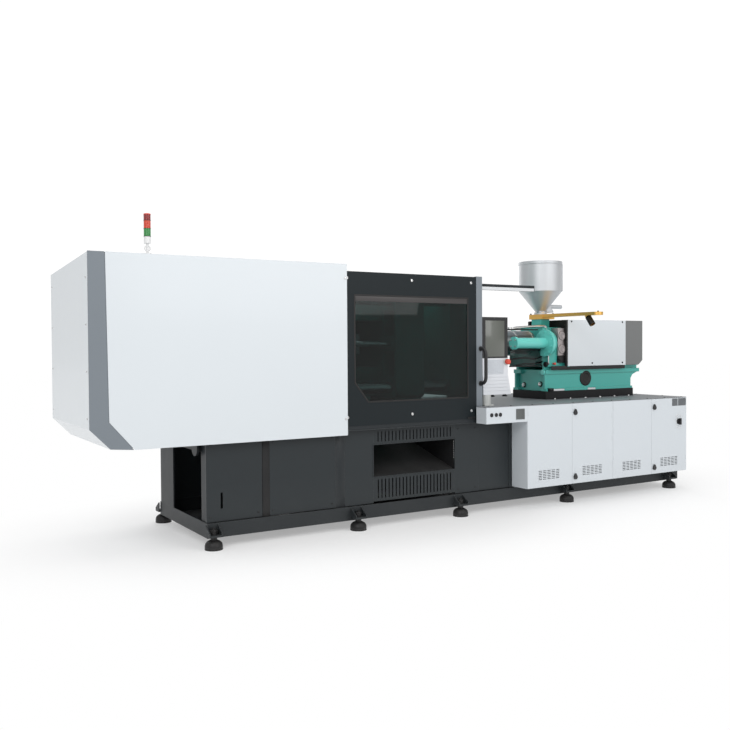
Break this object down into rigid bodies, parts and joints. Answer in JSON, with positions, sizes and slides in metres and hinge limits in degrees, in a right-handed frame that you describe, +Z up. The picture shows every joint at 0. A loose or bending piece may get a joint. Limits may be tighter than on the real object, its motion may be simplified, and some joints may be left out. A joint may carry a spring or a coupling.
{
  "type": "injection moulding machine",
  "caption": "Horizontal plastics injection moulding machine with covered clamp, sliding guard door, electrical cabinet, injection unit and pellet hopper.",
  "frame": {"origin": "on the floor under the centre of the machine's box", "axes": "+X from the clamp end to the injection end, -Y the operator's side, +Z up"},
  "size_m": [6.406, 1.74, 2.566],
  "materials": {
    "frame_grey": "satin",
    "panel_grey": "satin",
    "black_metal": "satin",
    "motor_grey": "satin",
    "cover_white": "semi-gloss",
    "band_grey": "satin",
    "beacon_white": "satin",
    "beacon_lens": "gloss",
    "teal_casting": "semi-gloss",
    "teal_light": "semi-gloss",
    "hard_chrome": "polished",
    "bright_steel": "turned",
    "door_black": "satin",
    "window_tint": "polished",
    "black_plastic": "satin",
    "rail_white": "satin",
    "post_grey": "satin",
    "panel_white": "semi-gloss",
    "screen_black": "gloss",
    "key_grey": "satin",
    "stop_red": "gloss",
    "cabinet_white": "semi-gloss",
    "deck_grey": "satin",
    "stainless": "brushed",
    "end_grey": "satin",
    "brass_plate": "brushed"
  },
  "bodies": {
    "base": {"base_frame": "frame_grey", "levelling_feet": "black_metal", "front_panels": "panel_grey", "chute_panels": "panel_grey", "rear_panels": "panel_grey", "drop_chute": "black_metal", "pump_motor": "motor_grey", "clamp_cover_front": "cover_white", "clamp_cover_rear": "cover_white", "clamp_trim_band": "band_grey", "clamp_end_cap": "cover_white", "clamp_roof": "cover_white", "beacon_base": "beacon_white", "beacon_lenses": "beacon_lens", "fixed_platen": "teal_casting", "rear_platen": "teal_casting", "tie_bars": "hard_chrome", "tie_bar_nuts": "bright_steel", "clamp_cylinder": "teal_casting", "traverse_cylinders": "black_metal", "door_rails": "rail_white", "panel_post": "post_grey", "cabinet_body": "cabinet_white", "deck_plate": "deck_grey", "plinth": "black_metal", "carriage_bed": "teal_casting"},
    "moving_platen": {"moving_platen": "teal_casting", "clamp_ram": "hard_chrome", "traverse_rods": "hard_chrome"},
    "ejector": {"ejector": "bright_steel"},
    "front_door": {"front_door_panel": "door_black", "front_door_window": "window_tint", "front_door_post": "band_grey", "front_door_handle": "black_plastic"},
    "rear_door": {"rear_door_panel": "door_black", "rear_door_window": "window_tint"},
    "control_panel": {"panel_housing": "panel_white", "panel_screen": "screen_black", "panel_keys": "key_grey"},
    "emergency_stop": {"emergency_stop": "stop_red"},
    "cabinet_door_1": {"cabinet_door_1": "cabinet_white"},
    "cabinet_door_2": {"cabinet_door_2": "cabinet_white"},
    "cabinet_door_3": {"cabinet_door_3": "cabinet_white"},
    "cabinet_door_4": {"cabinet_door_4": "cabinet_white"},
    "latch_2_low": {"latch_2_low": "black_plastic"},
    "latch_2_high": {"latch_2_high": "black_plastic"},
    "latch_4_low": {"latch_4_low": "black_plastic"},
    "latch_4_high": {"latch_4_high": "black_plastic"},
    "isolator": {"isolator_switch": "black_plastic"},
    "carriage": {"injection_housing": "teal_casting", "injection_cylinders": "teal_light", "barrel": "bright_steel", "barrel_guard": "stainless", "injection_cover": "cover_white", "injection_end_cover": "end_grey", "hopper_slide": "brass_plate"},
    "screw_drive": {"screw_drive": "motor_grey"},
    "screw": {"screw": "hard_chrome"},
    "hopper": {"hopper": "stainless", "hopper_lid": "stainless"}
  },
  "joints": [
    {"name": "clamp_stroke", "type": "slide", "parent": "base", "child": "moving_platen", "axis": [-1, 0, 0], "range_m": [0, 0.6]},
    {"name": "ejector_stroke", "type": "slide", "parent": "moving_platen", "child": "ejector", "axis": [1, 0, 0], "range_m": [0, 0.12]},
    {"name": "front_door_slide", "type": "slide", "parent": "base", "child": "front_door", "axis": [-1, 0, 0], "range_m": [0, 1.25]},
    {"name": "rear_door_slide", "type": "slide", "parent": "base", "child": "rear_door", "axis": [-1, 0, 0], "range_m": [0, 1.25]},
    {"name": "panel_swivel", "type": "hinge", "parent": "base", "child": "control_panel", "pos_m": [0.482, -0.58, 1.106], "axis": [0, 0, 1], "range_deg": [-60, 20]},
    {"name": "stop_press", "type": "slide", "parent": "control_panel", "child": "emergency_stop", "axis": [0, 1, 0], "range_m": [0, 0.005]},
    {"name": "cabinet_hinge_1", "type": "hinge", "parent": "base", "child": "cabinet_door_1", "pos_m": [0.816, -0.785, 0.6], "axis": [0, 0, -1], "range_deg": [0, 110]},
    {"name": "cabinet_hinge_2", "type": "hinge", "parent": "base", "child": "cabinet_door_2", "pos_m": [1.964, -0.785, 0.6], "axis": [0, 0, 1], "range_deg": [0, 85]},
    {"name": "cabinet_hinge_3", "type": "hinge", "parent": "base", "child": "cabinet_door_3", "pos_m": [1.966, -0.785, 0.6], "axis": [0, 0, -1], "range_deg": [0, 85]},
    {"name": "cabinet_hinge_4", "type": "hinge", "parent": "base", "child": "cabinet_door_4", "pos_m": [3.096, -0.785, 0.6], "axis": [0, 0, 1], "range_deg": [0, 110]},
    {"name": "latch_2_low_turn", "type": "hinge", "parent": "cabinet_door_2", "child": "latch_2_low", "pos_m": [1.435, -0.785, 0.285], "axis": [0, 1, 0], "range_deg": [0, 90]},
    {"name": "latch_2_high_turn", "type": "hinge", "parent": "cabinet_door_2", "child": "latch_2_high", "pos_m": [1.435, -0.785, 0.92], "axis": [0, 1, 0], "range_deg": [0, 90]},
    {"name": "latch_4_low_turn", "type": "hinge", "parent": "cabinet_door_4", "child": "latch_4_low", "pos_m": [2.581, -0.785, 0.285], "axis": [0, 1, 0], "range_deg": [0, 90]},
    {"name": "latch_4_high_turn", "type": "hinge", "parent": "cabinet_door_4", "child": "latch_4_high", "pos_m": [2.581, -0.785, 0.92], "axis": [0, 1, 0], "range_deg": [0, 90]},
    {"name": "isolator_turn", "type": "hinge", "parent": "cabinet_door_4", "child": "isolator", "pos_m": [2.97, -0.785, 0.744], "axis": [0, 1, 0], "range_deg": [0, 90]},
    {"name": "carriage_slide", "type": "slide", "parent": "base", "child": "carriage", "axis": [1, 0, 0], "range_m": [0, 0.2]},
    {"name": "inject_stroke", "type": "slide", "parent": "carriage", "child": "screw_drive", "axis": [1, 0, 0], "range_m": [0, 0.2]},
    {"name": "screw_spin", "type": "hinge", "parent": "screw_drive", "child": "screw", "pos_m": [1.5, 0, 1.595], "axis": [1, 0, 0], "continuous": true},
    {"name": "hopper_slide_out", "type": "slide", "parent": "carriage", "child": "hopper", "axis": [0, -1, 0], "range_m": [0, 0.68]}
  ]
}
